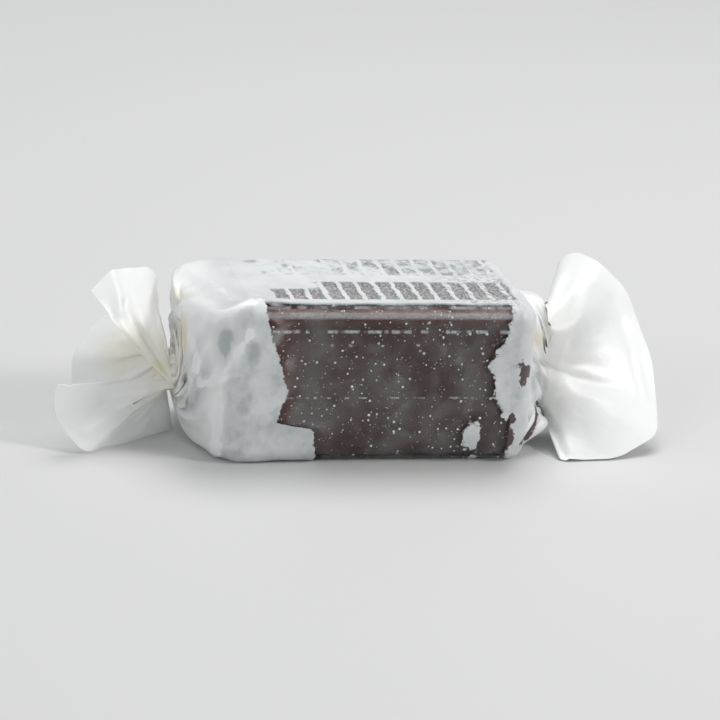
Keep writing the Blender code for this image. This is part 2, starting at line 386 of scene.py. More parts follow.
def height_at(table, i, j):
    """The height of a lattice point. The lattice repeats for ever."""
    return table[i % LATTICE, j % LATTICE]


def smooth_noise(u, v, cell, seed):
    """Rounded random hills, from -1 to 1, on squares of a given size."""
    rng = np.random.default_rng(seed)
    table = rng.uniform(-1, 1, (LATTICE, LATTICE))
    i, j, p, q = cells(u / cell, v / cell)
    p, q = p * p * (3 - 2 * p), q * q * (3 - 2 * q)
    top = height_at(table, i, j) * (1 - p) + height_at(table, i + 1, j) * p
    low = height_at(table, i, j + 1) * (1 - p) + height_at(table, i + 1, j + 1) * p
    return top * (1 - q) + low * q


def facets(u, v, cell, seed):
    """Flat triangles with sharp creases between them, from -1 to 1."""
    rng = np.random.default_rng(seed)
    table = rng.uniform(-1, 1, (LATTICE, LATTICE))
    turn = rng.uniform(0, math.pi)
    a = (u * math.cos(turn) - v * math.sin(turn)) / cell
    a = a + LATTICE_BEND * smooth_noise(u, v, 2.1 * cell, seed + 1)
    b = (u * math.sin(turn) + v * math.cos(turn)) / cell
    b = b + LATTICE_BEND * smooth_noise(u, v, 2.3 * cell, seed + 2)
    i, j, p, q = cells(a, b)
    # Some cells are cut along their other diagonal, so that the creases don't all run one way.
    flip = ((i * 7 + j * 13) % 5) < 2
    p = np.where(flip, 1 - p, p)
    low = np.where(flip, 1, 0)
    here, side, over, far = (height_at(table, i + a, j + b) for b in (0, 1) for a in (low, 1 - low))
    first = here + (side - here) * p + (far - side) * q
    second = here + (over - here) * q + (far - over) * p
    return np.where(p > q, first, second)


tried = facets(*np.mgrid[0:40:0.5, 0:40:0.5], 6.5, 11)
print("the facets reach from", round(float(tried.min()), 2), "to", round(float(tried.max()), 2))

# %% [markdown]
# The crumple is pushed out along the sheet's normals, and its strength depends on the place: on how far
# along the sheet a point is, on the side that it faces, and on where it stands in the picture.


# %% Measure the sheet
def normals_of(points):
    """The outward normal at each point of the grid."""
    along = np.gradient(points, axis=0)
    around = np.gradient(points, axis=1)
    out = -np.cross(along, around)
    return out / np.maximum(np.linalg.norm(out, axis=-1, keepdims=True), 1e-9)


def blurred(values, times):
    """Average each row and column with its neighbours."""
    for _ in range(times):
        padded = np.pad(values, ((1, 1), (1, 1), (0, 0)), mode="edge")
        values = (padded[:-2, 1:-1] + padded[2:, 1:-1] + padded[1:-1, :-2] + padded[1:-1, 2:]
                  + 2 * values) / 6
    return values


def between(values, low, high):
    """A smooth step from 0 at low to 1 at high."""
    t = np.clip((values - low) / (high - low), 0.0, 1.0)
    return t * t * (3 - 2 * t)


steps = np.linalg.norm(np.diff(grid, axis=0), axis=-1).mean(axis=1)
run = np.concatenate([[0.0], np.cumsum(steps)])
U = np.repeat(run[:, None], columns, axis=1)
V = np.repeat((stations * SHEET_ROUND / STATIONS)[None, :], rows, axis=0)
zone = np.repeat(outward[:, None], columns, axis=1)
is_right = grid[..., 0] > 0
x, y, z = grid[..., 0], grid[..., 1], grid[..., 2]

SMOOTHING_ROUNDS = 3
# How far a face has to turn to the camera before folds start to show on it, and show in full.
TURNED_TO_CAMERA = (0.05, 0.4)
directions = blurred(normals_of(grid), SMOOTHING_ROUNDS)
directions /= np.linalg.norm(directions, axis=-1, keepdims=True)
seen_s = grid @ np.array(CAMERA_RIGHT)
seen_u = grid @ np.array(CAMERA_UP)
facing = between(directions @ np.array(CAMERA_BACK), *TURNED_TO_CAMERA)
print("share of the sheet that faces the camera:", round(float((facing > 0.5).mean()), 2))


def count(label, chosen):
    """Say how many points of the sheet are chosen."""
    print(label, int(chosen.sum()), "points of the sheet")


# %% Crumple the paper
# Facets: their size, their seed and their height in millimetres on the sleeve, at the ends, in the left
# fan, in the right fan, and on the front's left part, where the paper is loose.
CRUMPLES = (
    (6.5, 11, 0.02, 0.36, 0.30, 0.05, 0.30),
    (3.2, 23, 0.01, 0.18, 0.15, 0.025, 0.15),
    (1.5, 37, 0.012, 0.05, 0.04, 0.006, 0.04),
)
# Soft steps between zones: into an end, out of it again before the neck, and into a fan.
INTO_END = (0.02, 0.35)
OUT_OF_END = (0.75, 1.0)
INTO_FAN = (1.05, 1.45)

in_end = between(zone, *INTO_END) * (1 - between(zone, *OUT_OF_END))
in_fan = between(zone, *INTO_FAN)
loose_left = between(-x, 10.5, 14.5) * (1 - between(zone, 0.0, 0.3)) * between(-y, 4.0, 8.0)
crumple = np.zeros_like(U)
for size, seed, on_sleeve, at_end, left_fan, right_fan, if_loose in CRUMPLES:
    crease_height = on_sleeve + at_end * in_end + if_loose * loose_left
    crease_height += np.where(is_right, right_fan, left_fan) * in_fan
    crumple += crease_height * facets(U, V, size, seed)
print("the crumple reaches", round(float(np.abs(crumple).max()), 2), "mm")

# %% [markdown]
# The folds that catch the eye are not left to chance. Each is a line drawn in the camera's plane, in
# millimetres to the right and up from the middle of the base, with a height and the width of its slope
# on either side. They are pressed into the parts of the sheet that face the camera.

# %% Draw the folds that are easy to see
SLEEVE_FOLDS = (
    (((-22.3, 20.2), (-19.0, 17.8), (-16.2, 15.7)), -0.55, 1.3, 0.7),
    (((-21.6, 15.4), (-19.9, 16.1), (-18.3, 15.6), (-17.0, 14.5), (-15.0, 14.9), (-12.6, 15.9)),
     0.5, 0.7, 1.9),
    (((-20.4, 14.8), (-20.9, 7.5)), -0.4, 0.9, 0.9),
    (((-21.7, 11.0), (-21.5, 3.2)), 0.35, 0.8, 0.8),
    (((-16.4, 7.1), (-16.7, -1.7)), 0.6, 1.1, 2.6),
    (((-12.6, 12.4), (-16.4, 7.1)), 0.4, 1.2, 1.8),
    (((-18.7, 6.6), (-14.0, 7.5)), 0.3, 0.7, 0.7),
    (((-18.4, 13.6), (-17.8, 7.8)), -0.3, 1.4, 1.4),
    (((-17.2, -0.9), (-14.6, -1.3)), 0.2, 0.6, 0.5),
    (((22.9, 4.0), (22.4, 1.7), (20.6, -1.4)), -0.6, 0.5, 0.5),
)
FAN_FOLDS = (
    (((29.2, 18.6), (26.9, 13.1), (24.5, 7.5)), 0.55, 3.5, 1.1),
    (((24.5, 7.5), (24.0, 6.0), (24.4, 3.5), (25.8, 1.0), (26.2, -1.7)), 0.6, 2.5, 0.6),
    (((24.6, 7.1), (28.8, 8.2)), 0.16, 0.6, 0.6),
    (((24.9, 5.0), (30.2, 4.5)), 0.14, 0.7, 0.5),
    (((32.6, 16.9), (35.0, 10.6), (36.4, 4.6)), -0.22, 1.1, 1.1),
    (((-30.0, 20.4), (-28.7, 16.9)), 0.7, 0.9, 3.0),
    (((-31.8, 14.6), (-34.0, 11.2), (-34.8, 7.5)), 0.6, 2.2, 1.4),
    (((-32.4, 1.0), (-25.6, 5.5)), 0.5, 1.4, 1.4),
)
print(len(SLEEVE_FOLDS) + len(FAN_FOLDS), "folds are drawn")


# %% Press them in
CREASE_CLEARANCE = 0.05
# A ridge's white line, partly the wax's cracking and partly painted highlight, is full within the first
# distance from its middle and gone at the second.
WHITE_LINE = (0.12, 0.55)
WHITE_PER_HEIGHT = 1.6


def segment_distance(s, u, a, b):
    """Distance to a straight piece of a line, and whether a point is on its left."""
    along = np.array(b) - np.array(a)
    t = np.clip(((s - a[0]) * along[0] + (u - a[1]) * along[1]) / (along @ along), 0.0, 1.0)
    ds, du = s - a[0] - t * along[0], u - a[1] - t * along[1]
    return np.hypot(ds, du), along[0] * du - along[1] * ds > 0


def fold(s, u, line, height, left, right):
    """A ridge along a drawn line, or a valley if height is below 0, and how far off it a point is."""
    nearest = np.full(s.shape, 1e9)
    shape = np.zeros(s.shape)
    for a, b in zip(line[:-1], line[1:]):
        away, on_left = segment_distance(s, u, a, b)
        tent = np.clip(1 - away / np.where(on_left, left, right), 0.0, 1.0)
        shape = np.where(away < nearest, tent, shape)
        nearest = np.minimum(nearest, away)
    return height * shape, nearest


pressed = np.zeros_like(crumple)
sharp = np.zeros_like(crumple)
broken = 0.7 + 0.5 * smooth_noise(U, V, 1.3, 61)
# Each kind of fold has the place that it is kept to, and how white its ridges are, painted highlight
# included.
kinds = ((SLEEVE_FOLDS, 1 - between(zone, 0.7, 1.0), 1.25), (FAN_FOLDS, between(zone, 1.0, 1.15), 0.3))
for folds, where_pressed, whiteness in kinds:
    for drawn, height, left, right in folds:
        shape, away = fold(seen_s, seen_u, drawn, height, left, right)
        pressed += shape * where_pressed
        line = (1 - between(away, *WHITE_LINE)) * where_pressed * facing * broken
        sharp = np.maximum(sharp, line * whiteness * min(1.0, max(0.0, WHITE_PER_HEIGHT * height)))
crumple += pressed * facing
sheet = off_the_block(grid + directions * crumple[..., None], CREASE_CLEARANCE)
print("creases stand up to", round(float(np.abs(crumple).max()), 2), "mm off the sheet")

# %% [markdown]
# The paper flows from the block into the right fan in one soft bend, so the grid is averaged there.
# Averaging shrinks a closed ring, so it is kept to the side of the neck that faces the camera.

# %% Soften the bend into the right fan
SOFTENING_ROUNDS = 40
SOFTENING_SHARE = 0.9
BEND_STARTS = (0.45, 0.8)
BEND_ENDS = (1.15, 1.55)
soft = between(zone, *BEND_STARTS) * (1 - between(zone, *BEND_ENDS)) * facing * is_right
averaged = blurred(sheet, SOFTENING_ROUNDS)
sheet = sheet + (averaged - sheet) * (SOFTENING_SHARE * soft)[..., None]
sheet = off_the_block(sheet, CREASE_CLEARANCE)
moved = np.linalg.norm(sheet - grid, axis=-1)[soft > 0.5]
print("the bend moves by up to", round(float(moved.max()), 2), "mm")

# %% [markdown]
# ## Where the wax clings
# Warm wax has stuck the paper to the caramel on the front and on top of the ribs. There the paper is
# wet through and clear, and elsewhere it is frosty. A painted mask could say where, but the object
# should stay sharp at any size. So each point of the sheet carries a few plain numbers that the
# material reads. The first one is how far inside a clear patch the point lies, in millimetres. Below 0
# it lies outside, so the patch's edge can be torn by noise later.

# %% Mark the clear patches on the front
# The window's left and right edges, as pairs of Z and X.
WINDOW_LEFT = (
    (0, -7.5), (4.7, -8.3), (5.5, -12.9), (9.6, -11.7), (14.2, -13.3), (18.3, -14.8), (22, -15.1),
)
WINDOW_RIGHT = (
    (0, 16.8), (4.7, 17.2), (7.4, 15.0), (10.3, 13.8), (14.2, 14.0), (18.9, 15.8), (22, 16.2),
)
# Small spots: X and Z of the middle, half width, half height, and 1 for clear or -1 for frosty.
PATCHES = ((12.0, 3.3, 1.0, 1.9, -1), (17.8, 11.8, 0.75, 1.7, 1), (16.8, 5.7, 0.5, 0.8, 1))
# The window fades out where the front rounds over into the top and the bottom.
FRONT_STARTS = -6.8
CORNER_SLOPE = 1.4
NOWHERE_CLEAR = -2.0


def off_oval(a, b, middle_a, middle_b, half_a, half_b):
    """How far out of an oval each point is: 0 in its middle, 1 on its rim."""
    return np.hypot((a - middle_a) / half_a, (b - middle_b) / half_b)


from_left = x - np.interp(z, *np.array(WINDOW_LEFT).T)
from_right = np.interp(z, *np.array(WINDOW_RIGHT).T) - x
clear = np.minimum(from_left, from_right)
clear = np.minimum(clear, (-y + FRONT_STARTS) * CORNER_SLOPE)
for *spot, sign in PATCHES:
    inside = 1 - off_oval(x, z, *spot)
    clear = np.maximum(clear, inside) if sign > 0 else np.minimum(clear, -inside)
count("the window covers", (clear > 0) & (y < FRONT_STARTS))

# %% [markdown]
# The back has a patch of its own, an oval with a wavy rim. At the right end a thin dark crescent of
# painted shade runs along a fold, drawn as paper that is clear over the caramel.

# %% Mark the clear patch on the back and the painted shade along the fold
BACK_STARTS = 8.0
BACK_SPOT = (-1.0, 8.6, 10.5, 4.9)
BACK_DEPTH = 4.0
BACK_WAVES = 1.8
BACK_FOOT = 3.2
FOLD_SHADE_LINE = ((22.5, 3.9), (22.4, 2.1), (21.7, 0.4), (20.6, -1.0))
# Along the fold's middle the painted shade is this strong, as clear paper, and it is less so with every
# millimetre off it.
FOLD_SHADE_CLEAR = 1.6
FOLD_SHADE_SLOPE = 4.5

waves = BACK_WAVES * smooth_noise(x + 40, z + 40, 4.5, 71)
at_back = BACK_DEPTH * (1 - off_oval(x, z, *BACK_SPOT)) + waves
at_back = np.minimum(at_back, (z - BACK_FOOT) * 0.7)
clear = np.where(y < FRONT_STARTS, clear, np.where(y > BACK_STARTS, at_back, NOWHERE_CLEAR))
clear = np.where(zone < 0.5, clear, NOWHERE_CLEAR)
off_fold_shade = np.full(clear.shape, 9.0)
for a, b in zip(FOLD_SHADE_LINE[:-1], FOLD_SHADE_LINE[1:]):
    off_fold_shade = np.minimum(off_fold_shade, segment_distance(seen_s, seen_u, a, b)[0])
may_hold_fold_shade = (facing > 0.3) & (zone < 0.9) & is_right
clear = np.where(may_hold_fold_shade, np.maximum(clear, FOLD_SHADE_CLEAR - FOLD_SHADE_SLOPE * off_fold_shade), clear)
count("clear patches cover", clear > 0)

# %% [markdown]
# The ribs show through only on top, and not everywhere alike: the back row is faint, and the front
# row loses its rear half towards the left.

# %% Mark the ribs
RIB_PITCH = 2.28
RIB_LENGTH = 6.6
RIB_COUNT = 13
RIBS_MIDDLE = 1.35
RIB_ROWS = (-3.5, 5.5)
# Where a soft step starts and ends: up to the top face, and at the left and right ends of the ribs.
TOP_STEP = (19.7, 20.1)
LEFT_STEP = (-14.2, -12.6)
RIGHT_STEP = (16.3, 17.6)
# The back row starts here and is this much fainter, with some more towards the left.
BACK_ROW_STEP = (0.5, 1.5)
BACK_ROW_FAINT, FAINTER_AT_LEFT = 0.42, 0.22

on_top = between(z, *TOP_STEP) * between(x, *LEFT_STEP) * (1 - between(x, *RIGHT_STEP))
in_back_row = between(y, *BACK_ROW_STEP)
ribbed = on_top * (1 - in_back_row * (BACK_ROW_FAINT + FAINTER_AT_LEFT * between(-x, -4.0, 8.0)))
ribbed *= 1 - between(y, -3.4, -2.2) * (1 - in_back_row) * between(-x, 4.5, 9.0)
count("ribs show on", ribbed > 0.5)

# %% [markdown]
# The last three numbers are for colour. Thick wax is yellow in the deep folds, and the same yellow is
# painted shade in the left fan's hollow. The dark block greys the paper that lies close to it, and more
# grey is painted shade, on the front and in hollows pressed against it. Where paper is bent sharply the
# wax turns white by cracking, and these white ridges are also painted highlights; valleys get painted
# shade.

# %% Mark the yellow folds and the yellow painted shade
# Yellow stains with painted shade, and the spots further down: place in the picture, half width, half
# height and strength.
YELLOW_STAINS_AND_SHADE = (
    (-20.9, 12.6, 1.3, 3.4, 0.9), (-21.4, 17.4, 1.8, 1.6, 0.6), (-28.0, 10.2, 5.4, 4.4, 0.65),
    (-24.2, 8.2, 2.0, 1.8, 1.0), (22.7, 12.0, 1.3, 1.9, 0.7),
)
# All round the necks the paper is slightly yellow, partly wax and partly painted shade, the right one
# less than the left one.
LEFT_NECK_YELLOW = 0.35
RIGHT_SHARE = 0.3

at_neck = between(zone, 0.55, 0.95) * (1 - between(zone, 1.1, 1.5))
yellow = LEFT_NECK_YELLOW * at_neck * np.where(is_right, RIGHT_SHARE, 1.0)
# The large oval in the left fan is the painted shade of its hollow.
for *spot, strength in YELLOW_STAINS_AND_SHADE:
    in_yellow_spot = 1 - between(off_oval(seen_s, seen_u, *spot), 0.2, 1.2)
    yellow = np.maximum(yellow, strength * in_yellow_spot)
count("yellow folds cover", yellow > 0.5)

# %% Mark where the block shows grey, and the painted shade and light
# Positive strengths are painted shade, mostly where the paper is pressed to the block.
# A strength below 0 is painted light, at a place where the paper stands off the block.
SHADE_AND_LIGHT_SPOTS = (
    (-12.4, 9.4, 1.8, 6.0, 0.9), (-15.6, 11.6, 1.6, 2.8, 1.0), (-19.0, 7.0, 1.8, 5.4, 0.85),
    (-13.2, 3.4, 3.2, 3.6, 0.9), (22.4, 6.6, 1.3, 3.4, 0.8), (21.4, 1.8, 1.8, 1.6, 0.8),
    (27.4, 12.8, 1.7, 5.0, 0.22), (-13.1, 21.6, 1.8, 0.5, 1.0), (-8.8, 21.0, 1.7, 0.45, 1.0),
    (-19.6, 13.8, 2.6, 1.6, -1.0), (-16.6, 4.0, 0.8, 5.0, -1.0), (-14.2, 9.4, 0.8, 2.0, -1.0),
    (-20.6, 16.8, 2.4, 3.0, -1.0),
)
# How grey the sleeve is, the painted shade that its front adds to that, and how grey the right end is.
ON_SLEEVE, FRONT_SHADE, AT_RIGHT_END = 0.45, 0.25, 0.28
# Millimetres off the block: the grey starts to fade at the first and is gone at the second.
FADING = (0.7, 2.2)

lifted = from_the_core(sheet)[1] - BLOCK_EDGE
at_right_end = is_right * in_end
# Grey from the dark block showing through the paper, with painted shade added on the front.
behind = (ON_SLEEVE + FRONT_SHADE * between(-y, 6.0, 9.0)) * (1 - at_right_end) + AT_RIGHT_END * at_right_end
behind = behind * (1 - between(lifted, *FADING))
wavy = 0.3 * smooth_noise(U, V, 2.4, 51)
# The spots are painted shade and painted light, kept to the sides that face the camera.
for *spot, depth in SHADE_AND_LIGHT_SPOTS:
    off = off_oval(seen_s, seen_u, *spot) + wavy
    shade = depth * (1 - between(off, 0.1, 1.3)) * facing
    behind = np.maximum(behind, shade) * (1 + np.minimum(shade, 0.0))
count("the block greys", behind > 0.5)

# %% Mark the creases: white ridges with painted highlight, and painted shade in the valleys
SHARPEST_BEND = 0.08
SMOOTH_RIGHT_FAN = 0.85

bent = np.zeros_like(crumple)
bent[1:-1] += crumple[:-2] + crumple[2:] - 2 * crumple[1:-1]
bent[:, 1:-1] += crumple[:, :-2] + crumple[:, 2:] - 2 * crumple[:, 1:-1]
bent = blurred(bent[..., None], 3)[..., 0]
creased = np.clip(-bent / SHARPEST_BEND, -1.0, 1.0) * (1 - SMOOTH_RIGHT_FAN * in_fan * is_right)
creased = np.clip(np.maximum(creased, sharp), -1.0, 1.0)
count("ridges are white on", creased > 0.5)

# %% [markdown]
# ## From grid to paper
# The grid has no thickness yet. Solidify could give it one, but three pieces have to meet without a
# gap, so the second face is laid here, one paper's thickness inside the first, and a rim closes each
# piece all round. The sleeve is its own piece because only its paper is clear enough to see through.


# %% Write helpers for meshes
THICKNESS = 0.08
SHEET_NORMALS = normals_of(sheet)
INNER_SHEET = sheet - SHEET_NORMALS * THICKNESS
SHADING_ROUNDS = 3
SHADING_NORMALS = blurred(SHEET_NORMALS, SHADING_ROUNDS)


def mesh_piece(name, points, faces):
    """A new object with a mesh. Its points are given in millimetres."""
    mesh = bpy.data.meshes.new(name)
    mesh.from_pydata((points * MM).tolist(), [], faces)
    return added(name, mesh)


def corners(values):
    """The values at the four corners of each cell of a grid, in order round it."""
    return values[:-1, :-1], values[1:, :-1], values[1:, 1:], values[:-1, 1:]


def rim_faces(edge, offset, flip):
    """The strip of faces that closes the sheet along one of its edges."""
    a, b = edge[:-1], edge[1:]
    strip = np.stack([a, b, b + offset, a + offset], axis=-1)
    return strip[:, ::-1] if flip else strip


def as_wrapper(piece, marks):
    """Give a piece the numbers that its material reads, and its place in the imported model."""
    for key, values in marks.items():
        layer = piece.data.attributes.new(key, "FLOAT", "POINT")
        layer.data.foreach_set("value", values)
    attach(piece, "root")
    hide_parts("wrapper")
    print(piece.name, "has", len(piece.data.polygons), "faces")
    return piece


print("the paper is", THICKNESS, "mm thick")

# %% [markdown]
# Where two pieces meet, each would be shaded by its own faces alone, and a line would show. So all of
# them take their shading from the whole sheet, slightly blurred, while the thin rims stay flat.


# %% Build the pieces of the wrapper
def paper_piece(name, first, last):
    """Rows first to last of the sheet as a closed thin mesh, with the numbers the material reads."""
    points = np.stack([sheet, INNER_SHEET])[:, first:last + 1]
    high, wide = points.shape[1:3]
    index = np.arange(high * wide).reshape(high, wide)
    a, b, c, d = corners(index)
    over = np.stack([a, d, c, b], axis=-1).reshape(-1, 4)
    under = np.stack([a, b, c, d], axis=-1).reshape(-1, 4) + high * wide
    edges = ((index[:, 0], False), (index[:, -1], True), (index[0], True), (index[-1], False))
    rims = [rim_faces(edge, high * wide, flip) for edge, flip in edges]
    faces = np.concatenate([over, under] + rims)
    piece = mesh_piece(name, points.reshape(-1, 3), faces.tolist())
    rims_start = len(over) + len(under)
    piece.data.polygons.foreach_set("use_smooth", np.arange(len(faces)) < rims_start)
    out = SHADING_NORMALS[first:last + 1].reshape(-1, 3)
    at_corners = np.concatenate([out, -out])[faces.ravel()]
    at_corners[4 * rims_start:] = 0.0
    piece.data.normals_split_custom_set(at_corners.tolist())
    numbers = {"clear": clear, "ribbed": ribbed, "yellow": yellow, "behind": behind, "creased": creased}
    on_both_sides = {key: np.tile(v[first:last + 1].ravel(), 2) for key, v in numbers.items()}
    return as_wrapper(piece, on_both_sides)


left_sleeve = FAN_ROWS + END_ROWS + 1
right_sleeve = left_sleeve + SLEEVE_ROWS
left_paper = paper_piece("left_twist", 0, left_sleeve)
sleeve_paper = paper_piece("sleeve", left_sleeve, right_sleeve)
right_paper = paper_piece("right_twist", right_sleeve, rows - 1)

# %% [markdown]
# Inside each neck the paper is squeezed into a bundle of pleats. Lofting every one of them would cost a
# great many faces for something that is seen only when one looks into a fan. A funnel of twisted
# pleats, drawn from the neck's ring to its middle, closes the neck in the same way.

# %% Close the necks with gathered paper
FUNNEL_RINGS = 16
FUNNEL_DEPTH = 1.6
FUNNEL_TURN = 1.3
FUNNEL_PLEATS = 13
FUNNEL_LEAN = 3.0
PLEAT_DEPTH = 0.45
NECK_MARKS = {"clear": NOWHERE_CLEAR, "ribbed": 0.0, "yellow": 0.3, "behind": 0.15, "creased": 0.0}


def baked(thing, modifier):
    """Keep what a modifier makes of an object as its mesh, and take the modifier off."""
    bpy.context.view_layer.update()
    made = thing.evaluated_get(bpy.context.evaluated_depsgraph_get())
    thing.data = bpy.data.meshes.new_from_object(made)
    thing.modifiers.remove(modifier)
    return thing


def gathered_middle(name, row, side):
    """A funnel of pleats that closes the sheet's ring at a row, turned round the neck's axis."""
    ring = INNER_SHEET[row, :-1]
    middle = ring.mean(axis=0)
    arm = ring - middle
    around = np.arange(len(ring)) * 2 * math.pi / len(ring)
    layers = []
    for k in range(FUNNEL_RINGS):
        share = k / FUNNEL_RINGS
        turn = FUNNEL_TURN * share
        pleat = np.sin(FUNNEL_PLEATS * around + FUNNEL_LEAN * share) * math.sin(math.pi * share)
        layer = middle + np.stack([
            side * (PLEAT_DEPTH * pleat - FUNNEL_DEPTH * share) + arm[:, 0] * (1 - share),
            (arm[:, 1] * math.cos(turn) - arm[:, 2] * math.sin(turn)) * (1 - share),
            (arm[:, 1] * math.sin(turn) + arm[:, 2] * math.cos(turn)) * (1 - share),
        ], axis=-1)
        layers.append(layer)
    tip = middle - np.array((side * FUNNEL_DEPTH, 0.0, 0.0))
    wide, tip_at = len(ring), len(ring) * FUNNEL_RINGS
    pairs = [(a, a - a % wide + (a + 1) % wide) for a in range(tip_at)]
    faces = [(a, b, b + wide, a + wide) if a < tip_at - wide else (a, b, tip_at) for a, b in pairs]
    piece = mesh_piece(name, np.concatenate(layers + [tip[None, :]]), faces)
    if side < 0:
        piece.data.flip_normals()
    wall = piece.modifiers.new("paper_thickness", "SOLIDIFY")
    wall.thickness = THICKNESS * MM
    wall.offset = -1.0
    baked(piece, wall).data.shade_smooth()
    points = len(piece.data.vertices)
    return as_wrapper(piece, {key: np.full(points, value) for key, value in NECK_MARKS.items()})


left_middle = gathered_middle("left_neck", FAN_ROWS, -1)
right_middle = gathered_middle("right_neck", rows - 1 - FAN_ROWS, 1)

# %% [markdown]
# ## Helpers for materials
# A procedural material is a graph, and writing one node at a time is long-winded. These helpers make a
# node, set its constants and link its inputs in one call, so that each material below reads like a
# recipe.


# %% Write the node helpers
SOCKET_KINDS = {"Place": "NodeSocketVector", "Color": "NodeSocketColor"}


def feed(node, **inputs):
    """Set or link inputs of a node. Keywords name them, with _ for a space, or i and a number."""
    for key, value in inputs.items():
        numbered = key[0] == "i" and key[1:].isdigit()
        slot = node.inputs[int(key[1:]) if numbered else key.replace("_", " ")]
        if isinstance(value, bpy.types.NodeSocket):
            slot.id_data.links.new(value, slot)
        else:
            slot.default_value = value
    return node


def new_node(tree, kind, settings=(), **inputs):
    """A node of a kind, with its settings and inputs."""
    node = tree.nodes.new(kind)
    for key, value in dict(settings).items():
        setattr(node, key, value)
    return feed(node, **inputs)


def tree_of(*values):
    """The tree that the first socket among some values belongs to."""
    return next(v.id_data for v in values if isinstance(v, bpy.types.NodeSocket))


def maths(operation, a, b=0.0, c=0.0):
    """One sum of values or sockets."""
    settings = {"operation": operation}
    return new_node(tree_of(a, b, c), "ShaderNodeMath", settings, i0=a, i1=b, i2=c).outputs[0]


print("the basic helpers:", feed.__name__, new_node.__name__, maths.__name__)

# %% Give the common sums and nodes short names
# times_plus(a, b, c) is a times b, plus c.
times = partial(maths, "MULTIPLY")
plus = partial(maths, "ADD")
minus = partial(maths, "SUBTRACT")
larger = partial(maths, "MAXIMUM")
absolute = partial(maths, "ABSOLUTE")
times_plus = partial(maths, "MULTIPLY_ADD")


def ramp(value, low, high, start=0.0, stop=1.0):
    """A smooth step of a value, from start at low to stop at high."""
    step = {"interpolation_type": "SMOOTHSTEP"}
    return new_node(tree_of(value), "ShaderNodeMapRange", step, Value=value, From_Min=low,
                    From_Max=high, To_Min=start, To_Max=stop).outputs[0]


def mixed(share, a, b):
    """A blend of two colours."""
    blend = new_node(tree_of(share), "ShaderNodeMix", {"data_type": "RGBA"}, i0=share)
    a, b = ((*c, 1.0) if isinstance(c, tuple) else c for c in (a, b))
    return feed(blend, i6=a, i7=b).outputs[2]


def noise(where, size_mm, detail=3.0, roughness=0.55):
    """Cloudy noise whose hills are about size_mm across."""
    return new_node(tree_of(where), "ShaderNodeTexNoise", Vector=where, Scale=1000.0 / size_mm,
                    Detail=detail, Roughness=roughness).outputs[0]


def attribute(tree, name):
    """A number that the mesh carries."""
    return new_node(tree, "ShaderNodeAttribute", {"attribute_name": name}).outputs["Fac"]


def group_with(name, inputs, outputs):
    """An empty node group with named sockets. They hold numbers unless SOCKET_KINDS says otherwise."""
    group = bpy.data.node_groups.new(name, "ShaderNodeTree")
    for side, labels in (("INPUT", inputs), ("OUTPUT", outputs)):
        for label in labels:
            kind = SOCKET_KINDS.get(label, "NodeSocketFloat")
            group.interface.new_socket(label, in_out=side, socket_type=kind)
    return group, group.nodes.new("NodeGroupInput").outputs, group.nodes.new("NodeGroupOutput")


print("short names:", [f.__name__ for f in (ramp, mixed, noise, attribute, group_with)])

# %% [markdown]
# ## Waxed paper, as two groups
# All pieces of the wrapper share one finish, so it is built once, as two node groups. The first says
# where the paper is clear, and starts with the patches and their edges, torn by noise. A painted mask
# would blur from near by, and this one is worked out afresh for every point.

# %% Group: the clear patches
EDGE_OF_FRONT = (-8.6, -7.7)
RIGHT_END_STARTS = (19.2, 19.6)
wet, given, result = group_with(
    "where_wax_clings", ("Place", "Clear", "Ribbed", "Creased"), ("Wet", "Haze"),
)
place = given["Place"]
apart = new_node(wet, "ShaderNodeSeparateXYZ", Vector=place)
ACROSS, DEEP, UP = (times(apart.outputs[k], 1000.0) for k in "XYZ")
# Two sizes of noise tear the edges. The right-hand edges are more ragged than the left-hand ones.
torn = minus(noise(place, 1.9, 6.0, 0.66), 0.5)
fine = minus(noise(place, 0.35, 2.0), 0.5)
ragged = ramp(ACROSS, 2.0, 12.0, 1.5, 4.2)
edge = plus(times(torn, ragged), given["Clear"])
edge = times_plus(fine, 0.6, edge)
patch = ramp(edge, -0.06, 0.12)
on_front = ramp(times_plus(torn, 1.2, DEEP), *EDGE_OF_FRONT, 1.0, 0.0)
# At the right end this also lets through the crescent of painted shade along the fold.
elsewhere = larger(ramp(DEEP, 0.0, 1.0), ramp(ACROSS, *RIGHT_END_STARTS))
patch = times(patch, larger(on_front, elsewhere))
print("nodes for the patches:", len(wet.nodes))

# %% [markdown]
# The ribs show as two lanes of dark bars. A sawtooth along X makes all bars of a lane by one sum. Noise
# makes their ends wobble, and worn places and smudges keep them from looking stamped.

# %% Group: the ribs
WHOLE_TURNS = 20
wobble = times(minus(noise(place, 1.3, 2.0), 0.5), 0.4)
first_bar = RIB_COUNT / 2 - RIBS_MIDDLE / RIB_PITCH + WHOLE_TURNS
across = times_plus(ACROSS, 1.0 / RIB_PITCH, first_bar)
across = maths("FRACT", plus(across, wobble))
from_side = minus(0.5, absolute(minus(across, 0.5)))
bars = ramp(from_side, 0.09, 0.17)
lanes = 0.0
for row in RIB_ROWS:
    off = times_plus(wobble, 1.6, absolute(minus(DEEP, row)))
    lanes = larger(lanes, ramp(off, RIB_LENGTH / 2 - 0.3, RIB_LENGTH / 2 + 0.15, 1.0, 0.0))
worn = times_plus(torn, 1.9, given["Ribbed"])
ribs = times(times(bars, lanes), ramp(worn, 0.3, 0.85))
ribs = times(ribs, ramp(fine, -0.2, 0.1, 0.48, 0.87))
smudges = ramp(noise(place, 0.8, 4.0, 0.7), 0.44, 0.62, 0.0, 0.6)
smudged = times(ramp(ACROSS, 5.0, 14.0), smudges)
ribs = larger(ribs, times(smudged, given["Ribbed"]))
print("nodes with the ribs:", len(wet.nodes))
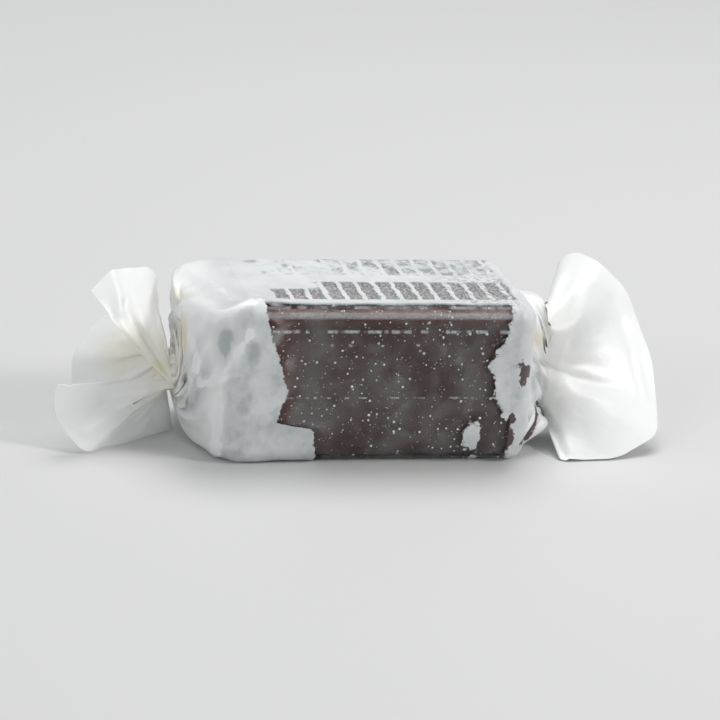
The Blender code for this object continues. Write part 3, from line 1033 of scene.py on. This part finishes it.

# %% [markdown]
# Along the wet front run thin frosty lines, where long creases keep the paper off the caramel. Noise
# that is stretched along X breaks each into dashes. Ridges whiten the clear paper too, partly by the
# wax's cracking and partly as painted highlight, and a thin haze clouds it away from its edge.

# %% Group: the frosty lines
# Height, half thickness, length of the dashes, share that is missing, and strength.
FROST_LINES = (
    (19.25, 0.26, 7.0, 0.25, 0.32), (20.0, 0.10, 4.0, 0.50, 0.22),
    (17.35, 0.17, 1.3, 0.50, 0.50), (15.6, 0.14, 1.2, 0.62, 0.4), (8.8, 0.09, 1.0, 0.55, 0.5),
)
lines = 0.0
for height, thick, length, missing, strength in FROST_LINES:
    wavering = times_plus(wobble, 0.3, height)
    level = absolute(minus(UP, wavering))
    along = new_node(wet, "ShaderNodeCombineXYZ", X=ACROSS, Y=height)
    gaps = new_node(wet, "ShaderNodeTexNoise", Vector=along.outputs[0], Scale=1 / length, Detail=3.0)
    dash = ramp(gaps.outputs[0], missing - 0.06, missing + 0.06)
    lines = larger(lines, times(ramp(level, thick * 0.3, thick * 1.9, strength, 0.0), dash))
lines = times(lines, ramp(fine, -0.16, 0.12, 0.55, 1.0))

# Painted highlight on the ridges, which also stands for the wax's cracking.
crack_highlights = times(larger(given["Creased"], 0.0), 0.8)
whitened = larger(lines, crack_highlights)
still_clear = minus(1.0, whitened)
wet_all = times(larger(patch, ribs), still_clear)
feed(result, Wet=wet_all)
cloud = ramp(noise(place, 6.5, 4.0, 0.6), 0.40, 0.72)
near_edge = ramp(edge, 0.2, 2.2)
feed(result, Haze=times(cloud, near_edge))
print("nodes with the lines:", len(wet.nodes))

# %% [markdown]
# The second group gives the paper's colour: white in the fans, bluish grey where the dark block shows
# through it, darker with painted shade in the hollows, yellow in the deep folds with painted shade in the
# left fan's hollow, chalky on ridges from the wax's cracking and from painted highlight, and painted
# shade in valleys. It also makes the shine uneven, and gives a fine relief of fibres and wax.

# %% Group: the paper's colour, with painted shade and painted highlights
tone, given, result = group_with(
    "paper_tone", ("Place", "Behind", "Yellow", "Creased"), ("Color", "Roughness", "Height"),
)
place = given["Place"]
OPEN_PAPER = (0.89, 0.90, 0.895)
CRACKED_WAX_AND_HIGHLIGHT = (0.93, 0.94, 0.94)
OVER_BLOCK = (0.60, 0.635, 0.645)
OVER_BLOCK_DARK_AND_SHADE = (0.42, 0.455, 0.465)
PRESSED_AND_SHADED = (0.33, 0.36, 0.37)
FOLD_YELLOW_AND_SHADE = (0.76, 0.68, 0.40)
clouds = ramp(noise(place, 3.2, 4.0), 0.35, 0.68)
backed = mixed(clouds, OVER_BLOCK, OVER_BLOCK_DARK_AND_SHADE)
base = mixed(given["Behind"], OPEN_PAPER, backed)
uneven = minus(noise(place, 1.5, 3.0), 0.5)
# Where the grey is strongest the paper is darker still: painted shade in the hollows.
pressed_and_shaded_here = times_plus(uneven, 0.6, given["Behind"])
base = mixed(ramp(pressed_and_shaded_here, 0.66, 0.92, 0.0, 0.6), base, PRESSED_AND_SHADED)
# The wax's yellow, which in the left fan's hollow and at the necks is painted shade too.
patchy = ramp(noise(place, 4.0, 2.0), 0.3, 0.6, 0.6, 1.0)
stain_and_shade = times(given["Yellow"], patchy)
base = mixed(times(stain_and_shade, 0.8), base, FOLD_YELLOW_AND_SHADE)
# Ridges turn white, partly by the wax's cracking and partly as painted highlight; valleys get painted
# shade.
ridge = times(larger(given["Creased"], 0.0), 0.6)
crisp = ramp(times_plus(uneven, 0.5, given["Creased"]), 0.52, 0.68)
base = mixed(larger(ridge, crisp), base, CRACKED_WAX_AND_HIGHLIGHT)
sunk = larger(times(given["Creased"], -1.0), 0.0)
valley = times(sunk, 0.55)
base = mixed(valley, base, OVER_BLOCK_DARK_AND_SHADE)
fibres = noise(place, 0.5, 3.0, 0.6)
fibre_height = times(fibres, 0.12)
grainy = times_plus(noise(place, 1.6, 3.0), 0.7, fibre_height)
feed(result, Color=base, Roughness=ramp(fibres, 0.3, 0.7, 0.34, 0.5), Height=grainy)
print("made the group", tone.name)

# %% [markdown]
# Real waxed paper lets light through in two ways. On the sleeve one looks through it at the caramel, so
# there Alpha drops where the wax clings. The ends have several layers and no clear view, so they stay
# opaque, glow with subsurface scattering and get the caramel's colour painted where they are clear.

# %% Put the groups together in the paper's materials
CARAMEL_SEEN = (0.075, 0.045, 0.042)
THROUGH = 0.35
GLOW_REACH = 0.6 * MM
# How solid the sleeve is where it is clear, and what haze and frost add to that.
CLEAR_ALPHA = 0.008
HAZE_ALPHA = 0.07
FROSTY_ALPHA = 0.92
WAX_COAT = 0.15
COAT_ROUGHNESS = 0.25
RELIEF_STRENGTH = 0.25
RELIEF_DEPTH = 0.2 * MM


def waxed_paper(name, see_through):
    """White waxed paper. A see-through one lets the block show where the wax clings."""
    material, tree, shader = new_material(name)
    where = tree.nodes.new("ShaderNodeTexCoord").outputs["Object"]
    crease_white_and_shade = attribute(tree, "creased")
    clings = new_node(tree, "ShaderNodeGroup", {"node_tree": wet}, Place=where, Creased=crease_white_and_shade,
                      Clear=attribute(tree, "clear"), Ribbed=attribute(tree, "ribbed"))
    paper = new_node(tree, "ShaderNodeGroup", {"node_tree": tone}, Place=where, Creased=crease_white_and_shade,
                     Behind=attribute(tree, "behind"), Yellow=attribute(tree, "yellow"))
    colour = paper.outputs["Color"]
    if see_through:
        hazy = times_plus(clings.outputs["Haze"], HAZE_ALPHA, CLEAR_ALPHA)
        solid = minus(1.0, clings.outputs["Wet"])
        feed(shader, Alpha=times_plus(solid, FROSTY_ALPHA, hazy))
    else:
        # At the right end this caramel colour also draws the crescent of painted shade along the fold.
        colour = mixed(clings.outputs["Wet"], colour, CARAMEL_SEEN)
    relief = new_node(tree, "ShaderNodeBump", Strength=RELIEF_STRENGTH, Distance=RELIEF_DEPTH,
                      Height=paper.outputs["Height"])
    feed(shader, Base_Color=colour, Roughness=paper.outputs["Roughness"],
         Subsurface_Weight=0.0 if see_through else THROUGH, Subsurface_Radius=(1.0, 1.0, 1.0),
         Subsurface_Scale=GLOW_REACH, Coat_Weight=WAX_COAT, Coat_Roughness=COAT_ROUGHNESS,
         Normal=relief.outputs["Normal"])
    return material


clear_paper = waxed_paper("waxed_paper_on_caramel", True)
white_paper = waxed_paper("waxed_paper_open", False)
sleeve_paper.data.materials.append(clear_paper)
for piece in (left_paper, right_paper, left_middle, right_middle):
    piece.data.materials.append(white_paper)
print("paper materials:", clear_paper.name, white_paper.name)

# %% [markdown]
# ## Flecks of wax
# Between the clear paper and the caramel sit nearly a thousand white crumbs of wax, none the same size.
# A speckled texture would do from far away, but real grains catch the light and stay where they are
# when the sweet is turned. They need a bed to lie on, which follows the inside of the clear paper.

# %% Cut the bed out of the sheet
BED_DEPTH = 0.22
BED_MARGIN = 0.1
level = (sheet - SHEET_NORMALS * BED_DEPTH)[left_sleeve:right_sleeve + 1]
mark = clear[left_sleeve:right_sleeve + 1]
a, b, c, d = corners(np.arange(mark.size).reshape(mark.shape))
quads = np.stack([a, d, c, b], axis=-1)[np.minimum.reduce(corners(mark)) > BED_MARGIN]
bed = mesh_piece("wax_flecks", level.reshape(-1, 3), quads.tolist())
print("the bed has", len(bed.data.polygons), "faces")

# %% [markdown]
# The wax itself is white, a little cloudy and duller than the paper.

# %% Mix the white wax
WAX_DARK = (0.40, 0.40, 0.41)
WAX_LIGHT = (0.80, 0.81, 0.81)

white_wax, tree, shader = new_material("white_wax")
where = tree.nodes.new("ShaderNodeTexCoord").outputs["Object"]
wax_tone = mixed(ramp(noise(where, 1.5), 0.35, 0.65), WAX_DARK, WAX_LIGHT)
feed(shader, Base_Color=wax_tone, Roughness=0.5)
print("mixed", white_wax.name)

# %% [markdown]
# Geometry Nodes scatter the flecks: points are spread over the bed, and each carries a small flattened
# grain. A random number to the fifth power makes most grains tiny and a few of them large. The inputs
# have names, so the same tree could scatter sugar or salt by other numbers.

# %% Build the tree that scatters them
FLECKS = {
    "Grains Per Square Metre": 0.95e6,
    "Smallest": 0.05 * MM,
    "Largest": 0.21 * MM,
    "Flatness": 0.5,
}
RARITY = 5.0

scatter = bpy.data.node_groups.new("wax_scatter", "GeometryNodeTree")
for side in ("INPUT", "OUTPUT"):
    scatter.interface.new_socket("Geometry", in_out=side, socket_type="NodeSocketGeometry")
for label in FLECKS:
    scatter.interface.new_socket(label, in_out="INPUT", socket_type="NodeSocketFloat")
given = scatter.nodes.new("NodeGroupInput").outputs
spread = new_node(scatter, "GeometryNodeDistributePointsOnFaces", Mesh=given["Geometry"],
                  Density=given["Grains Per Square Metre"], Seed=7)
chance = new_node(scatter, "FunctionNodeRandomValue", {"data_type": "FLOAT"}, Seed=3).outputs[1]
rare = maths("POWER", chance, RARITY)
radius = times_plus(rare, minus(given["Largest"], given["Smallest"]), given["Smallest"])
flat = times(radius, given["Flatness"])
size = new_node(scatter, "ShaderNodeCombineXYZ", X=radius, Y=radius, Z=flat)
grain = new_node(scatter, "GeometryNodeMeshIcoSphere", Radius=1.0, Subdivisions=1)
laid = new_node(scatter, "GeometryNodeInstanceOnPoints", Points=spread.outputs["Points"],
                Instance=grain.outputs["Mesh"], Rotation=spread.outputs["Rotation"],
                Scale=size.outputs[0])
real = new_node(scatter, "GeometryNodeRealizeInstances", Geometry=laid.outputs[0])
painted = new_node(scatter, "GeometryNodeSetMaterial", Geometry=real.outputs[0], Material=white_wax)
new_node(scatter, "NodeGroupOutput", Geometry=painted.outputs[0])
print("the tree has", len(scatter.nodes), "nodes")

# %% [markdown]
# The tree then runs once. Its inputs are found by their names, and the grains stay as a plain mesh.

# %% Grow the flecks
GRAIN_FACES = 20

grow = bed.modifiers.new("grow", "NODES")
grow.node_group = scatter
for item in scatter.interface.items_tree:
    if item.name in FLECKS:
        grow[item.identifier] = FLECKS[item.name]
flecks = baked(bed, grow)
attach(flecks, "root")
print("flecks:", len(flecks.data.polygons) // GRAIN_FACES)

# %% [markdown]
# ## The caramel
# The block is a dark, slightly oily brown. It keeps the shape of its solid, ribs and all, so only its
# finish is made here. Sugar makes it cloudy in places, light from the edges reddens it at the left and
# along the top, and oil gives it a soft shine.

# %% Finish the caramel
CARAMEL_DARK = (0.036, 0.015, 0.012)
CARAMEL_CLOUD = (0.052, 0.030, 0.028)
CARAMEL_RED = (0.15, 0.038, 0.024)
LEFT_EDGE = (-14.4 * MM, -9.6 * MM)
TOP_EDGE = (17.9 * MM, 18.9 * MM)

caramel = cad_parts["caramel"]
caramel_look, tree, shader = new_material("dark_caramel")
where = tree.nodes.new("ShaderNodeTexCoord").outputs["Object"]
apart = new_node(tree, "ShaderNodeSeparateXYZ", Vector=where)
cloudy = ramp(noise(where, 6.0, 4.0), 0.35, 0.7)
brown = mixed(cloudy, CARAMEL_DARK, CARAMEL_CLOUD)
near_left = ramp(apart.outputs["X"], *LEFT_EDGE, 1.0, 0.0)
near_top = ramp(apart.outputs["Z"], *TOP_EDGE, 0.0, 0.6)
redder = times(larger(near_left, near_top), ramp(cloudy, -0.6, 1.0))
feed(shader, Base_Color=mixed(redder, brown, CARAMEL_RED),
     Roughness=ramp(noise(where, 2.0, 3.0), 0.3, 0.7, 0.3, 0.5))
caramel.data.materials.clear()
caramel.data.materials.append(caramel_look)
print("caramel finish:", caramel_look.name)
